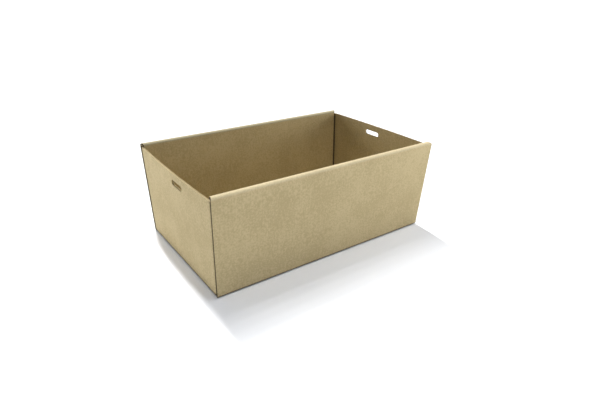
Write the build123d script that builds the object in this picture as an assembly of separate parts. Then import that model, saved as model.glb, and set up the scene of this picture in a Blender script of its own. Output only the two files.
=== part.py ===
from build123d import *
from math import acos, cos, degrees, hypot, radians, sin, tan
import os

# A tray box folded from one sheet of micro-flute kraft board, lengths in millimetres.
# The origin is at the middle of the base, on its underside. The long walls run along X.

# Board
board = 1.5
crease_radius = 0.5
ply_gap = 0.35

# Tray, over its outer faces
base_length = 203.0
base_width = 123.6
wall_height = 80.0
end_drop = 3.0
end_lean = 1.6
side_lean = 3.5

# End walls: how far their top edge bows outwards, and the radius of their top corners
end_bow = 1.4
end_corner = 2.0

# Flaps that the end walls send round the corners into the double long walls
flap_length = 45.0
flap_lift = 0.4

# Long walls: the space beside an inner panel at its -X and +X end, the space between the rim and
# the end walls' top edges, and the radius of the rim's ends, seen from the side
left_gap = 0.3
right_gap = 2.2
rim_clearance = 0.3
rim_corner = 2.0

# Tabs under the inner panels, and the slots in the base that hold them
tab_width = 24.0
tab_spacing = 104.0
tab_lift = 0.3
lock_gap = 0.3

# Slot through each end wall, its middle below the wall's top edge, and off the wall's middle: to +Y in
# the +X wall, to -Y in the -X wall
slot_length = 18.0
slot_width = 4.4
slot_drop = 7.6
right_slot_offset = 6.5
left_slot_offset = 11.5

# The leans, and the outward normals of the +X end wall and the +Y long wall
end_tan = tan(radians(end_lean))
end_cos = cos(radians(end_lean))
side_tan = tan(radians(side_lean))
side_cos = cos(radians(side_lean))
side_sin = sin(radians(side_lean))
end_out = Vector(1, 0, -end_tan).normalized()
side_out = Vector(0, 1, -side_tan).normalized()
corner_turn = degrees(acos(end_out.dot(side_out)))

# The rim of a long wall is three plies thick: outer panel, flap and inner panel. It is square to the
# leaning wall, so its inner edge is the highest. Below its lip the inner panel fits between the end walls.
outer_radius = crease_radius + board
rim_width = 3 * board + 2 * ply_gap
rim_slant = (wall_height - outer_radius - (rim_width - outer_radius) * side_sin) / side_cos
end_height = wall_height - end_drop
slot_height = end_height - slot_drop
lip_height = end_height + rim_clearance
seat_height = board + lock_gap


def crease_setback(turn):
    """Distance from the sharp corner of a crease to the start of its bend."""
    return outer_radius * tan(radians(turn) / 2)


end_crease = crease_setback(90 - end_lean)
side_crease = crease_setback(90 - side_lean)

# Outer face of the +X end wall: across the tray, then up the wall from its sharp lower edge
end_plane = Plane((base_length / 2, 0, 0), x_dir=(0, 1, 0), z_dir=end_out)


def half_length(height):
    """Half the length over the end walls, with which the outer panels end flush."""
    return base_length / 2 + height * end_tan


def cavity_half_width(height):
    """Half the distance between the inner faces of the two outer panels."""
    return base_width / 2 + height * side_tan - board / side_cos


def inner_half_width(height):
    """Half the distance between the visible faces of the two inner panels."""
    return base_width / 2 + height * side_tan - rim_width / side_cos


def end_half_width(rise):
    """Half the width of an end wall between its corner creases, at a distance up the wall."""
    slope = end_cos * side_tan
    sharp_corner = cavity_half_width(0) - ply_gap / side_cos + rise * slope
    return sharp_corner - crease_setback(corner_turn) * hypot(1, slope)


def run(length):
    """A straight stretch of board."""
    return lambda point, heading: Line(point, point + heading * length)


def crease(turn):
    """A bend of the board towards its inner face."""
    return lambda point, heading: JernArc(point, heading, outer_radius, turn)


def folded_section(start, heading, *moves):
    """Section of the board, whose outer face makes the moves one after another."""
    point, heading = Vector(*start), Vector(*heading)
    edges = []
    for move in moves:
        edge = move(point, heading)
        point, heading = edge @ 1, edge % 1
        edges.append(edge)
    return Face(Wire(edges).offset_2d(board, side=Side.LEFT))


def trapezoid(half_width, top, left_inset=0, right_inset=0):
    """Outline from the floor to a height, whose ends lean outwards."""
    foot, head = half_width(0), half_width(top)
    left = [(left_inset - head, top), (left_inset - foot, 0)]
    right = [(foot - right_inset, 0), (head - right_inset, top)]
    return make_face(Polyline(*left, *right, close=True))


def round_top(outline, radius):
    """The outline with its two top corners rounded."""
    return fillet(outline.vertices().sort_by(Axis.Y)[-2:], radius)


def bowed_section(rise, bow):
    """Section of the +X end wall between its corner creases, at a distance up the wall."""
    half = end_half_width(rise)
    outer = Bezier((-half, 0), (0, -2 * bow), (half, 0))
    inner = outer.moved(Pos(0, board))
    sides = [Line(outer @ 0, inner @ 0), Line(outer @ 1, inner @ 1)]
    section_plane = Plane(end_plane.from_local_coords((0, rise)), x_dir=(0, 1, 0), z_dir=end_plane.y_dir)
    return section_plane * make_face([outer, inner, *sides])


def corner_flap():
    """Bend round the +X +Y corner, and the flap that it sends into the long wall."""
    rise = end_crease + flap_lift
    start = end_plane.from_local_coords((end_half_width(rise), rise))
    upwards = end_out.cross(side_out)
    section_plane = Plane(start, x_dir=upwards.cross(end_out), z_dir=upwards)
    section = folded_section((0, 0), (1, 0), crease(corner_turn), run(flap_length))
    return extrude(section_plane * section, wall_height)


def end_wall(slot_offset):
    """The +X end wall, with its crease to the base, its corner flaps and its slot."""
    head = end_height / end_cos + board
    panel = loft([bowed_section(end_crease, 0), bowed_section(head, end_bow)], ruled=True)
    flap = corner_flap()
    outline = round_top(trapezoid(cavity_half_width, end_height), end_corner)
    wall = (panel + flap + mirror(flap, Plane.XZ)) & extrude(Plane.YZ * outline, base_length)

    bend = folded_section((base_length / 2 - end_crease, 0), (1, 0), crease(90 - end_lean))
    foot = extrude(Plane.XZ * bend, end_half_width(end_crease), both=True)

    slot = Pos(slot_offset, slot_height / end_cos) * SlotOverall(slot_length, slot_width)
    return wall + foot - extrude(end_plane * slot, board + end_bow, both=True)


def long_panel(section, outline):
    """Board with a section across the tray, cut to an outline along it."""
    length_of_board = extrude(Plane.YZ * section, base_length, both=True)
    return length_of_board & extrude(Plane.XZ * outline, base_width, both=True)


def inner_board(top, bottom):
    """Section of the inner panel between two heights."""
    drop = (top - bottom - board * side_sin) / side_cos
    return folded_section((inner_half_width(top), top), (-side_sin, -side_cos), run(drop))


def mitred_rim(left_inset, right_inset):
    """The +Y rim from above, as long as the outer panel outside and as the inner panel inside."""
    end = half_length(wall_height)
    outside, shoulder, inside = base_width, cavity_half_width(end_height), inner_half_width(end_height)
    left = [(-end, outside), (-end, shoulder), (left_inset - end, inside)]
    right = [(end - right_inset, inside), (end, shoulder), (end, outside)]
    return extrude(make_face(Polyline(*left, *right, close=True)), 2 * wall_height)


def long_wall():
    """The +Y long wall: outer panel, rolled rim, inner panel and its locking tabs."""
    rise = run(rim_slant - side_crease)
    outer = folded_section((base_width / 2 - side_crease, 0), (1, 0), crease(90 - side_lean), rise)

    shoulder = (base_width / 2 + rim_slant * side_sin, rim_slant * side_cos)
    lip = run((wall_height - outer_radius * (1 - side_sin) - lip_height) / side_cos)
    folds = [crease(90), run(rim_width - 2 * outer_radius), crease(90), lip]
    rim = folded_section(shoulder, (side_sin, side_cos), *folds)

    outer_outline = round_top(trapezoid(half_length, wall_height), rim_corner)
    insets = [board / end_cos + gap for gap in (left_gap, right_gap)]
    rolled = long_panel(rim, outer_outline) & mitred_rim(*insets)
    inner = long_panel(inner_board(lip_height, seat_height), trapezoid(half_length, wall_height, *insets))

    tab = inner_board(seat_height + board * side_sin, tab_lift)
    tabs = GridLocations(tab_spacing, 0, 2, 1) * extrude(Plane.YZ * tab, tab_width / 2, both=True)
    return long_panel(outer, outer_outline) + rolled + inner + tabs


def base():
    """The base, between the four creases at its edges, with a slot for each tab."""
    near = inner_half_width(0) - lock_gap
    far = inner_half_width(board) + board / side_cos + lock_gap
    slots = GridLocations(tab_spacing, near + far, 2, 2) * Rectangle(tab_width + 2 * lock_gap, far - near)
    plate = Rectangle(base_length - 2 * end_crease, base_width - 2 * side_crease)
    return extrude(plate - slots, board)


def tray_box():
    """The whole tray, as one folded sheet."""
    ends = end_wall(right_slot_offset) + Rot(0, 0, 180) * end_wall(left_slot_offset)
    side = long_wall()
    return base() + ends + side + mirror(side, Plane.XZ)


os.makedirs("parts", exist_ok=True)
export_step(tray_box(), "parts/tray_box.step")
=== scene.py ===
from cmath import rect
from contextlib import contextmanager
from dataclasses import dataclass
from math import cos, pi, radians, sin, sqrt, tan

import bmesh
import bpy
from mathutils import Euler, Matrix, Vector


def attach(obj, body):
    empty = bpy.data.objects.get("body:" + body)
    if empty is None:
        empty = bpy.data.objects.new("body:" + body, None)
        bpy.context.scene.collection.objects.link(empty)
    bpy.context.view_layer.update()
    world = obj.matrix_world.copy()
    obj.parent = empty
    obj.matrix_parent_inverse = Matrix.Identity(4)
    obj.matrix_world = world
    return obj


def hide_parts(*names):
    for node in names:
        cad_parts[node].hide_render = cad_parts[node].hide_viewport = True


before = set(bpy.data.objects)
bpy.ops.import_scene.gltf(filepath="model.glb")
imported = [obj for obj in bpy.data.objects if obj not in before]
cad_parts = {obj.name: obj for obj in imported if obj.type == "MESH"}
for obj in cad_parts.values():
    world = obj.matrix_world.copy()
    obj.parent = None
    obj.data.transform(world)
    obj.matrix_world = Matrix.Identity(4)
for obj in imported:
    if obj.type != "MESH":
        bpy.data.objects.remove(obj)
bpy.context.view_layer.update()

# Lengths are in metres and angles in radians, if no other unit is named.

# Board: its thickness, its two liners, the fluting paper between them, and the outer radius of a crease
BOARD = 0.0015
LINER_THICKNESS = 0.00018
FLUTING_THICKNESS = 0.00014
FLUTE_PITCH = 0.0033
CREASE = 0.002

# Tray, over its outer faces
BASE_LENGTH = 0.203
BASE_WIDTH = 0.1236
WALL_HEIGHT = 0.080
END_HEIGHT = 0.077
END_LEAN = radians(1.6)
SIDE_LEAN = radians(3.5)

# End walls: how far their top bows outwards, and half the length of their top edge
END_BOW = 0.0014
END_SPAN = 0.0612

# Long walls: the width of the rim, the radius of its ends, how far the inner panel stops short of the outer
# one at the -X and the +X end, and the heights at which it starts under the rim and ends over the base
RIM_WIDTH = 0.0052
RIM_CORNER = 0.002
LEFT_INSET = 0.0018
RIGHT_INSET = 0.0037
LIP_HEIGHT = 0.0773
SEAT_HEIGHT = 0.0019

# Slots of the end walls: their size, the height of their middle, and their place along each wall
SLOT_LENGTH = 0.018
SLOT_WIDTH = 0.0044
SLOT_HEIGHT = 0.0694
LEFT_SLOT_PLACE = -0.0115
RIGHT_SLOT_PLACE = 0.0065

# Cut edges: how deep they are open between the liners, how deep they are where they are crushed, and how far
# outside the board their grooves start
EDGE_DEPTH = 0.0024
CRUSHED_DEPTH = 0.0003
OVERCUT = 0.0002

# Steps of a cut edge: their length where it is straight, their number in a crease or in a quarter of a slot's
# rim, and their number down a groove
EDGE_STEP = 0.003
CREASE_STEPS = 8
WAVE_STEPS = 8

# Mesh of the tray: points this near one another are one, and its edges look sharp from this angle on
WELD_DISTANCE = 1e-6
SHARP_ANGLE = radians(28)

# Finishes of the tray, by their place in its list of materials: the liner, then the fluting darkened with
# painted shade
LINER_FINISH, SHADED_FLUTING_FINISH = 0, 1

# Where the board's colour changes: from the back of the tray to its front, and by height up to the rim, which
# gets rubbed wear and a painted highlight at the front and painted shade at the back, down to the foot, which
# gets painted shade, and from below and from above to the end walls' tops. Each pair is where the change
# begins and where it is full.
FRONT_RISE = (0.055, -0.055)
RIM_RISE = (0.0776, 0.0790)
FOOT_FALL = (0.0022, 0.0008)
TOP_RISE = (0.0755, 0.0760)
TOP_FALL = (0.0775, 0.0772)

# Painted shade in the gap beside an inner panel: its depths under the long wall's outer face, how far from
# the end wall's outer face it starts, and its height
GAP_DEPTHS = (0.0016, 0.0050)
GAP_FROM_END = 0.0010
GAP_TOP = 0.0765

# Painted shade in the seam along the end of an outer panel: the depth at which it starts, the pair of depths
# over which its darkness rises towards that start, and its width and height
SEAM_DEPTH = 0.0012
SEAM_FADE = (0.0030, 0.0022)
SEAM_FROM_END = 0.0018
SEAM_TOP = 0.0775

# Linear colours of the board: its liner, then its front rim, rubbed and with a painted highlight, its back
# rim in painted shade, its crushed places and its places of painted shade, then its inside, darkened with
# painted shade
LINER = (0.600, 0.490, 0.275)
LINER_DARK = (0.490, 0.392, 0.210)
LINER_PALE = (0.70, 0.60, 0.38)
FLECK_DARK = (0.24, 0.17, 0.09)
RIM_WEAR_AND_HIGHLIGHT = (0.78, 0.67, 0.47)
BACK_RIM_SHADE = (0.36, 0.33, 0.23)
CRUSHED = (0.22, 0.165, 0.10)
PAINTED_SHADE = (0.10, 0.075, 0.045)
SHADED_FLUTING = (0.12, 0.09, 0.055)
SHADED_FLUTING_DARK = (0.07, 0.05, 0.03)

# Floor and sky
FLOOR_SPAN = 24.0
FLOOR_COLOUR = (0.855, 0.86, 0.87)
SKY_COLOUR = (0.88, 0.97, 1.15)
SKY_LIGHT = 0.08

# Lamps far away: heading in degrees clockwise from +Y, height in degrees, light on a surface that faces the
# lamp, and colour; then how wide each looks, in degrees
WHITE = (1.0, 1.0, 1.0)
COOL = (0.96, 0.99, 1.04)
FAR_LAMPS = (
    (8, 54, 0.18, WHITE),
    (9, 57, 0.16, WHITE),
    (10, 61, 0.17, WHITE),
    (11, 66, 0.15, WHITE),
    (12, 72, 0.14, WHITE),
    (14, 78, 0.12, WHITE),
    (135, 84, 0.18, COOL),
    (-135, 84, 0.27, COOL),
)
FAR_LAMP_WIDTH = 2.5

# Round lamps near the tray: heading and height in degrees, diameter, and watts; then how far they are from
# the tray's middle, at which every lamp is aimed
NEAR_LAMPS = (
    (0, 25, 0.3, 1.0),
    (90, 8, 0.2, 0.96),
    (142, 10, 0.2, 0.82),
    (-60, 8, 0.2, 0.71),
)
NEAR_LAMP_DISTANCE = 0.6
LAMP_AIM = Vector((0, 0, 0.04))

# Camera: its place, how far it looks down, its heading and its roll in degrees, its lens in millimetres, and
# the nearest distance that it sees
CAMERA_PLACE = Vector((-0.2148, -0.3155, 0.2045))
CAMERA_DIP = 24.99
CAMERA_HEADING = 35.86
CAMERA_ROLL = 0.9
CAMERA_LENS = 28.35
CAMERA_NEAR = 0.01


class Socket:
    """An output of a shader node, which takes part in Python arithmetic through Math nodes."""

    def __init__(self, shader, socket):
        self.shader = shader
        self.socket = socket

    def math(self, operation, first, second=0.0):
        return self.shader.node("ShaderNodeMath", {"operation": operation}, {0: first, 1: second})

    def __add__(self, other):
        return self.math("ADD", self, other)

    def __radd__(self, other):
        return self.math("ADD", other, self)

    def __sub__(self, other):
        return self.math("SUBTRACT", self, other)

    def __rsub__(self, other):
        return self.math("SUBTRACT", other, self)

    def __mul__(self, other):
        return self.math("MULTIPLY", self, other)

    def __rmul__(self, other):
        return self.math("MULTIPLY", other, self)

    def __gt__(self, other):
        return self.math("GREATER_THAN", self, other)

    def __lt__(self, other):
        return self.math("LESS_THAN", self, other)

    def __abs__(self):
        return self.math("ABSOLUTE", self)


class Shader:
    """The nodes of one material or world."""

    def __init__(self, owner):
        owner.use_nodes = True
        self.tree = owner.node_tree
        self.tree.nodes.clear()

    def node(self, kind, settings, inputs, output=0):
        """A node: its settings come first, then the values or links of its sockets."""
        made = self.tree.nodes.new(kind)
        for name, value in settings.items():
            setattr(made, name, value)
        for name, value in inputs.items():
            if isinstance(value, Socket):
                self.tree.links.new(value.socket, made.inputs[name])
            else:
                made.inputs[name].default_value = value
        return Socket(self, made.outputs[output]) if made.outputs else made

    def outputs(self, kind, inputs, names):
        """Several outputs of one node."""
        first = self.node(kind, {}, inputs, names[0])
        return [Socket(self, first.socket.node.outputs[name]) for name in names]

    def scaled(self, vector, factors):
        """A vector with each of its numbers multiplied by a factor of its own."""
        return self.node("ShaderNodeVectorMath", {"operation": "MULTIPLY"}, {0: vector, 1: factors})

    def noise(self, place, scale, detail, roughness=0.5):
        """Cloudy noise, as a number from 0 to 1."""
        inputs = {"Vector": place, "Scale": scale, "Detail": detail, "Roughness": roughness}
        return self.node("ShaderNodeTexNoise", {}, inputs)

    def ramp(self, value, low, high):
        """0 on the side of low and 1 on the side of high, with a smooth change between the two."""
        inputs = {"Value": value, "From Min": low, "From Max": high}
        return self.node("ShaderNodeMapRange", {"interpolation_type": "SMOOTHSTEP"}, inputs)

    def blend(self, mask, first, second):
        """The first colour where the mask is 0, the second where it is 1."""
        inputs = {0: mask, 6: rgba(first), 7: rgba(second)}
        return self.node("ShaderNodeMix", {"data_type": "RGBA"}, inputs, 2)

    def paper(self, colour, relief, roughness, shine, strength, height):
        """The surface of a paper, with how strongly and how high its relief stands out."""
        bump = self.node("ShaderNodeBump", {}, {"Strength": strength, "Distance": height, "Height": relief})
        inputs = {"Base Color": colour, "Roughness": roughness, "Specular IOR Level": shine, "Normal": bump}
        surface = self.node("ShaderNodeBsdfPrincipled", {}, inputs)
        self.node("ShaderNodeOutputMaterial", {}, {"Surface": surface})


def rgba(colour):
    """A colour as a shader's socket takes it."""
    return colour if isinstance(colour, Socket) else (*colour, 1.0)


def half_length(height):
    """Half the length over the end walls at a height."""
    return BASE_LENGTH / 2 + height * tan(END_LEAN)


def side_line(height, depth):
    """How far a leaning face of a long wall is from the middle, at a depth under its outer face."""
    return BASE_WIDTH / 2 + height * tan(SIDE_LEAN) - depth / cos(SIDE_LEAN)


def narrow_painted_shade(s, x, y, z):
    """Masks of painted shade in two narrow places: the gap beside an inner panel and the seam of an outer
    panel.
    """
    depth = side_line(z, 0) - abs(y)
    from_end = half_length(z) - abs(x)
    nearest, farthest = GAP_DEPTHS
    gap_shade = (depth > nearest) * (depth < farthest) * (from_end > GAP_FROM_END) * (z < GAP_TOP)
    seam_shade = (depth > SEAM_DEPTH) * s.ramp(depth, *SEAM_FADE) * (from_end < SEAM_FROM_END) * (z < SEAM_TOP)
    return gap_shade, seam_shade


def kraft_board():
    """Brown kraft liner: mottled paper that shows its flutes faintly, with rubbed wear and a painted
    highlight along the front rim, and painted shade along the back rim, at the foot, in a gap and in a seam.
    """
    material = bpy.data.materials.new("kraft_board")
    s = Shader(material)
    place = s.node("ShaderNodeTexCoord", {}, {}, "Object")
    normal = s.node("ShaderNodeNewGeometry", {}, {}, "Normal")
    x, y, z = s.outputs("ShaderNodeSeparateXYZ", {0: place}, "XYZ")
    facing_x, facing_z = s.outputs("ShaderNodeSeparateXYZ", {0: normal}, "XZ")

    cloud = s.noise(place, scale=38.0, detail=2.0)
    mottle = s.noise(place, scale=750.0, detail=4.0, roughness=0.6)
    fibre = s.noise(s.scaled(place, (1.0, 1.0, 0.22)), scale=3200.0, detail=2.0)
    streak = s.noise(s.scaled(place, (1.0, 1.0, 0.08)), scale=1100.0, detail=2.0)
    on_end_wall = s.ramp(abs(facing_x), 0.6, 0.8)
    across_flutes = x * (1 - on_end_wall) + z * on_end_wall
    flute = s.node("ShaderNodeMath", {"operation": "SINE"}, {0: across_flutes * (2 * pi / FLUTE_PITCH)})

    tone = s.ramp(cloud * 0.25 + mottle * 0.6 + streak * 0.15, 0.41, 0.59)
    pale_fibre = s.ramp(fibre, 0.60, 0.80)
    dark_fleck = s.ramp(fibre, 0.32, 0.18)
    faces_up = s.ramp(facing_z, 0.90, 0.98)
    crushed = faces_up * s.ramp(z, *TOP_RISE) * s.ramp(z, *TOP_FALL)
    # painted shade along the bottom crease
    foot = s.ramp(z, *FOOT_FALL)
    gap_shade, seam_shade = narrow_painted_shade(s, x, y, z)
    front = s.ramp(y, *FRONT_RISE)
    rim = s.ramp(z, *RIM_RISE)

    colour = s.blend(tone, LINER_DARK, LINER)
    tints = (
        (pale_fibre, 0.35, LINER_PALE),
        (dark_fleck, 0.4, FLECK_DARK),
        (flute * 0.5 + 0.5, 0.06, LINER_DARK),
        (crushed, 0.45, CRUSHED),
        # painted shade along the bottom crease
        (foot, 0.85, PAINTED_SHADE),
        # painted shade in the gap beside an inner panel and in the seam of an outer panel
        (gap_shade, 0.9, PAINTED_SHADE),
        (seam_shade, 0.9, PAINTED_SHADE),
        # front rim: rubbed wear and a painted highlight
        (rim * front, 0.3, RIM_WEAR_AND_HIGHLIGHT),
        # back rim: painted shade
        (rim * (1 - front), 0.6, BACK_RIM_SHADE),
    )
    for mask, strength, tint in tints:
        colour = s.blend(mask * strength, colour, tint)

    relief = mottle * 0.6 + fibre * 0.25 + flute * 0.12
    s.paper(colour, relief, roughness=0.86, shine=0.25, strength=0.35, height=0.0003)
    return material


def shaded_fluting_paper():
    """Rough paper between the liners, seen at the cut edges and on the walls of their grooves, with its brown
    darkened by painted shade.
    """
    material = bpy.data.materials.new("shaded_fluting_paper")
    s = Shader(material)
    place = s.node("ShaderNodeTexCoord", {}, {}, "Object")
    fibre = s.noise(place, scale=1800.0, detail=3.0)
    colour = s.blend(s.ramp(fibre, 0.4, 0.6), SHADED_FLUTING_DARK, SHADED_FLUTING)
    s.paper(colour, fibre, roughness=0.95, shine=0.1, strength=0.3, height=0.0002)
    return material


def fold_line(start, heading, moves):
    """Middle of the board where it folds, as points and unit vectors to its outer side.

    The line starts from a point of the outer face. A move is a straight run and the turn after it. Points and
    vectors are complex numbers, across the tray and up.
    """
    middle = CREASE - BOARD / 2
    point = start + rect(BOARD / 2, heading + pi / 2)
    line = []
    for length, turn in moves:
        steps = max(1, round(length / EDGE_STEP))
        for step in range(steps):
            line.append((point + rect(length * step / steps, heading), rect(1, heading - pi / 2)))
        point += rect(length, heading)
        centre = point + rect(middle, heading + pi / 2)
        for step in range(CREASE_STEPS if turn else 0):
            outward = heading - pi / 2 + turn * step / CREASE_STEPS
            line.append((centre + rect(middle, outward), rect(1, outward)))
        heading += turn
        point = centre + rect(middle, heading - pi / 2) if turn else point
    line.append((point, rect(1, heading - pi / 2)))
    return line


def rim_end(y, height, inset):
    """How far from the middle a rolled rim reaches, with its rounded and mitred end."""
    rounded = half_length(height)
    over = height - (WALL_HEIGHT - RIM_CORNER)
    if over > 0:
        arc = sqrt(max(0, RIM_CORNER ** 2 - over ** 2))
        rounded = half_length(height - over) - RIM_CORNER / cos(END_LEAN) + arc
    outside, inside = side_line(END_HEIGHT, BOARD), side_line(END_HEIGHT, RIM_WIDTH)
    mitred = half_length(WALL_HEIGHT) - inset * (outside - y) / (outside - inside)
    return min(rounded, mitred)


def end_of_long_wall(reach, point, out):
    """A place of a long wall's cut edge, from how far the wall reaches there and from its fold line."""
    return Vector((reach, point.real, point.imag)), Vector((-1, 0, 0)), Vector((0, out.real, out.imag))


def long_wall_edges(inset):
    """Cut edges at the +X end of the +Y long wall: outer panel with rim, and inner panel.

    Each place of a cut edge is a point in the middle of the board, the way into the board and the unit
    vector to the board's outer side.
    """
    side_crease = CREASE * tan((pi / 2 - SIDE_LEAN) / 2)
    foot = complex(BASE_WIDTH / 2 - side_crease, 0)
    rise = (WALL_HEIGHT - CREASE - (RIM_WIDTH - CREASE) * sin(SIDE_LEAN)) / cos(SIDE_LEAN) - side_crease
    lip = (WALL_HEIGHT - CREASE * (1 - sin(SIDE_LEAN)) - LIP_HEIGHT) / cos(SIDE_LEAN)
    folds = [(0, pi / 2 - SIDE_LEAN), (rise, pi / 2), (RIM_WIDTH - 2 * CREASE, pi / 2), (lip, 0)]
    rolled = []
    for point, out in fold_line(foot, 0, folds):
        y, height = point.real, point.imag
        reach = half_length(height) if height < END_HEIGHT else rim_end(y, height, inset)
        rolled.append(end_of_long_wall(reach, point, out))

    top = complex(side_line(LIP_HEIGHT, RIM_WIDTH), LIP_HEIGHT)
    drop = (LIP_HEIGHT - SEAT_HEIGHT) / cos(SIDE_LEAN)
    inner = []
    for point, out in fold_line(top, -pi / 2 - SIDE_LEAN, [(drop, 0)]):
        inner.append(end_of_long_wall(half_length(point.imag) - inset, point, out))
    return rolled, inner


def end_wall_middle(y, height):
    """How far from the middle the middle of an end wall's board is, with the bow of its top."""
    half = side_line(height, 2 * BOARD)
    bow = END_BOW * (1 - (y / half) ** 2) * height / END_HEIGHT
    return half_length(height) + bow - BOARD / 2 / cos(END_LEAN)


def end_wall_edges(slot_place):
    """Cut edges of the +X end wall: its top edge, and the rim of its slot."""
    up, out = Vector((sin(END_LEAN), 0, cos(END_LEAN))), Vector((cos(END_LEAN), 0, -sin(END_LEAN)))
    steps = round(2 * END_SPAN / EDGE_STEP)
    top = []
    for step in range(steps + 1):
        y = END_SPAN * (2 * step / steps - 1)
        top.append((Vector((end_wall_middle(y, END_HEIGHT), y, END_HEIGHT)), -up, out))

    radius = SLOT_WIDTH / 2
    straight = SLOT_LENGTH / 2 - radius
    slot = []
    for step in range(4 * CREASE_STEPS):
        angle = 2 * pi * (step + 0.5) / (4 * CREASE_STEPS)
        y = slot_place + radius * cos(angle) + (straight if cos(angle) > 0 else -straight)
        height = SLOT_HEIGHT + radius * sin(angle)
        inward = Vector((0, cos(angle), 0)) + up * sin(angle)
        slot.append((Vector((end_wall_middle(y, height), y, height)), inward, out))
    return top, slot


def mirrored(edge, along, across):
    """A cut edge of the +X +Y corner, at another corner."""
    signs = Vector((along, across, 1))
    return [tuple(vector * signs for vector in place) for place in edge]


def skin(outlines, closed):
    """Points and faces of a solid whose skin runs from outline to outline."""
    count, rows = len(outlines[0]), len(outlines)
    points = [point for outline in outlines for point in outline]
    faces = []
    for row in range(rows if closed else rows - 1):
        here, there = row * count, (row + 1) % rows * count
        for i in range(count):
            j = (i + 1) % count
            faces.append((here + i, here + j, there + j, there + i))
    if not closed:
        faces += [tuple(range(count)), tuple(range((rows - 1) * count, rows * count))]
    return points, faces


@dataclass
class CutEdge:
    """A cut edge of the board, with how deep it is open, the way across its flutes and its finish."""

    places: list
    depth: float
    across_flutes: Vector
    finish: int
    closed: bool = False

    def groove(self):
        """What is cut from the edge, between the two liners."""
        half = BOARD / 2 - LINER_THICKNESS
        outlines = []
        for point, inward, out in self.places:
            near, far = point - inward * OVERCUT, point + inward * self.depth
            outlines.append([near - out * half, near + out * half, far + out * half, far - out * half])
        return skin(outlines, self.closed)

    def fluting(self):
        """The waved paper that shows in the groove."""
        swing = BOARD / 2 - LINER_THICKNESS - FLUTING_THICKNESS / 2
        outlines = []
        for point, inward, out in self.places:
            wave = []
            for step in range(WAVE_STEPS + 1):
                place = point + inward * (self.depth + OVERCUT) * step / WAVE_STEPS
                phase = 2 * pi * place.dot(self.across_flutes) / FLUTE_PITCH
                wave.append(place + out * swing * cos(phase))
            half = out * FLUTING_THICKNESS / 2
            outlines.append([point + half for point in wave] + [point - half for point in reversed(wave)])
        return skin(outlines, self.closed)


def cut_edges():
    """All cut edges of the tray that show. Those of the end walls are crushed, so that liner closes them."""
    edges = []
    for along, inset, slot_place in ((-1, LEFT_INSET, LEFT_SLOT_PLACE), (1, RIGHT_INSET, RIGHT_SLOT_PLACE)):
        up = Vector((along * sin(END_LEAN), 0, cos(END_LEAN)))
        top, slot = end_wall_edges(slot_place)
        edges.append(CutEdge(mirrored(top, along, 1), CRUSHED_DEPTH, up, LINER_FINISH))
        edges.append(CutEdge(mirrored(slot, along, 1), CRUSHED_DEPTH, up, LINER_FINISH, closed=True))
        for across in (-1, 1):
            for edge in long_wall_edges(inset):
                places = mirrored(edge, along, across)
                edges.append(CutEdge(places, EDGE_DEPTH, Vector((1, 0, 0)), SHADED_FLUTING_FINISH))
    return edges


@contextmanager
def rework(mesh):
    """The mesh in a form that can be changed, written back when the changes are made."""
    work = bmesh.new()
    work.from_mesh(mesh)
    yield work
    work.to_mesh(mesh)
    work.free()


def placed(name, data):
    """A new object in the scene."""
    made = bpy.data.objects.new(name, data)
    bpy.context.collection.objects.link(made)
    return made


def joined_mesh(name, solids, materials):
    """One mesh of several solids, each with the index of its material."""
    points, faces, finishes = [], [], []
    for (solid_points, solid_faces), finish in solids:
        faces += [tuple(i + len(points) for i in face) for face in solid_faces]
        finishes += [finish] * len(solid_faces)
        points += solid_points
    mesh = bpy.data.meshes.new(name)
    mesh.from_pydata(points, [], faces)
    mesh.polygons.foreach_set("material_index", finishes)
    for material in materials:
        mesh.materials.append(material)
    with rework(mesh) as work:
        bmesh.ops.recalc_face_normals(work, faces=work.faces)
    return mesh


def welded_tray(materials):
    """A copy of the tray's solid mesh, with its seams welded."""
    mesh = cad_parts["tray_box"].data.copy()
    mesh.materials.clear()
    for material in materials:
        mesh.materials.append(material)
    with rework(mesh) as work:
        bmesh.ops.remove_doubles(work, verts=work.verts, dist=WELD_DISTANCE)
    return mesh


def cut_away(mesh, cutter):
    """The mesh without what the cutter's solids hold; the cut faces keep the cutter's materials."""
    body, tool = placed("body", mesh), placed("tool", cutter)
    cut = body.modifiers.new("grooves", "BOOLEAN")
    cut.operation = "DIFFERENCE"
    cut.solver = "EXACT"
    cut.material_mode = "TRANSFER"
    cut.use_self = True
    cut.object = tool
    result = bpy.data.meshes.new_from_object(body.evaluated_get(bpy.context.evaluated_depsgraph_get()))
    for made in (body, tool):
        bpy.data.objects.remove(made)
    return result


def folded_tray(materials):
    """The tray with its cut edges open, so that the fluting between the liners shows."""
    edges = cut_edges()
    grooves = joined_mesh("grooves", [(edge.groove(), edge.finish) for edge in edges], materials)
    fluting = joined_mesh("fluting", [(edge.fluting(), edge.finish) for edge in edges], materials)
    mesh = cut_away(welded_tray(materials), grooves)
    with rework(mesh) as work:
        work.from_mesh(fluting)
    mesh.shade_smooth()
    mesh.set_sharp_from_angle(angle=SHARP_ANGLE)
    tray = placed("folded_tray", mesh)
    tray.modifiers.new("even_shading", "WEIGHTED_NORMAL").keep_sharp = True
    return tray


def floor_finish():
    """Matt white, which the lamps light up to plain white where no shadow falls on it."""
    material = bpy.data.materials.new("floor")
    s = Shader(material)
    matt = s.node("ShaderNodeBsdfDiffuse", {}, {"Color": rgba(FLOOR_COLOUR)})
    s.node("ShaderNodeOutputMaterial", {}, {"Surface": matt})
    return material


def lay_floor():
    """The level floor on which the tray stands."""
    half = FLOOR_SPAN / 2
    corners = [(-half, -half, 0), (half, -half, 0), (half, half, 0), (-half, half, 0)]
    mesh = bpy.data.meshes.new("floor")
    mesh.from_pydata(corners, [], [(0, 1, 2, 3)])
    mesh.materials.append(floor_finish())
    floor = placed("floor", mesh)


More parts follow.
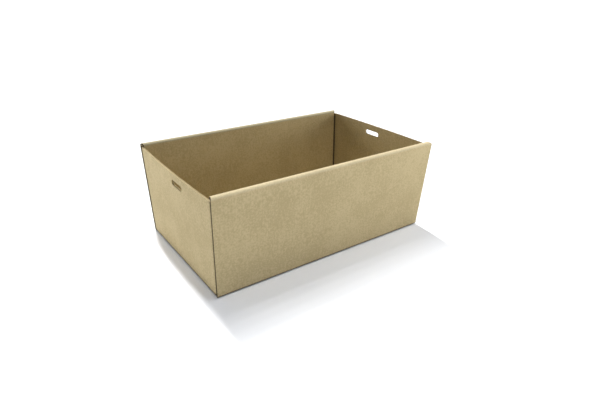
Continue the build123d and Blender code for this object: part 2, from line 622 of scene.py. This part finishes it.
def make_sky():
    """A dim even sky for the object, and white wherever the camera sees past the floor."""
    world = bpy.data.worlds.new("sky")
    bpy.context.scene.world = world
    s = Shader(world)
    rays = ("Is Camera Ray", "Is Glossy Ray", "Is Transmission Ray")
    camera, glossy, clear = s.outputs("ShaderNodeLightPath", {}, rays)
    seen = s.node("ShaderNodeMath", {"operation": "MINIMUM"}, {0: camera + glossy + clear, 1: 1.0})
    strength = seen * (1.0 - SKY_LIGHT) + SKY_LIGHT
    inputs = {"Color": s.blend(seen, SKY_COLOUR, WHITE), "Strength": strength}
    sky = s.node("ShaderNodeBackground", {}, inputs)
    s.node("ShaderNodeOutputWorld", {}, {"Surface": sky})


def hang_lamp(kind, heading, height, distance, settings):
    """A lamp that shines at the tray from a heading and a height, unseen by the camera."""
    data = bpy.data.lights.new("lamp", kind)
    for name, value in settings.items():
        setattr(data, name, value)
    lamp = placed("lamp", data)
    east, north = sin(radians(heading)), cos(radians(heading))
    level, up = cos(radians(height)), sin(radians(height))
    towards = Vector((east * level, north * level, up))
    lamp.location = LAMP_AIM + towards * distance
    lamp.rotation_euler = towards.to_track_quat("Z", "Y").to_euler()
    lamp.visible_camera = False


def hang_lamps():
    """The far lamps, which give the tray its shadow, and the near ones, which fill in its walls."""
    for heading, height, light, colour in FAR_LAMPS:
        settings = {"energy": pi * light, "angle": radians(FAR_LAMP_WIDTH), "color": colour}
        hang_lamp("SUN", heading, height, 0, settings)
    for heading, height, width, power in NEAR_LAMPS:
        settings = {"energy": power, "shape": "DISK", "size": width}
        hang_lamp("AREA", heading, height, NEAR_LAMP_DISTANCE, settings)


def set_camera():
    """The camera, at the photograph's place and angle."""
    data = bpy.data.cameras.new("camera")
    data.lens = CAMERA_LENS
    data.clip_start = CAMERA_NEAR
    camera = placed("camera", data)
    aim = Euler((radians(90 - CAMERA_DIP), 0, -radians(CAMERA_HEADING))).to_matrix()
    roll = Euler((0, 0, radians(CAMERA_ROLL))).to_matrix()
    camera.matrix_world = Matrix.LocRotScale(CAMERA_PLACE, aim @ roll, None)
    bpy.context.scene.camera = camera


tray = folded_tray([kraft_board(), shaded_fluting_paper()])
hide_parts("tray_box")
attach(tray, "root")

lay_floor()
make_sky()
hang_lamps()
set_camera()
bpy.context.scene.view_settings.view_transform = "Standard"
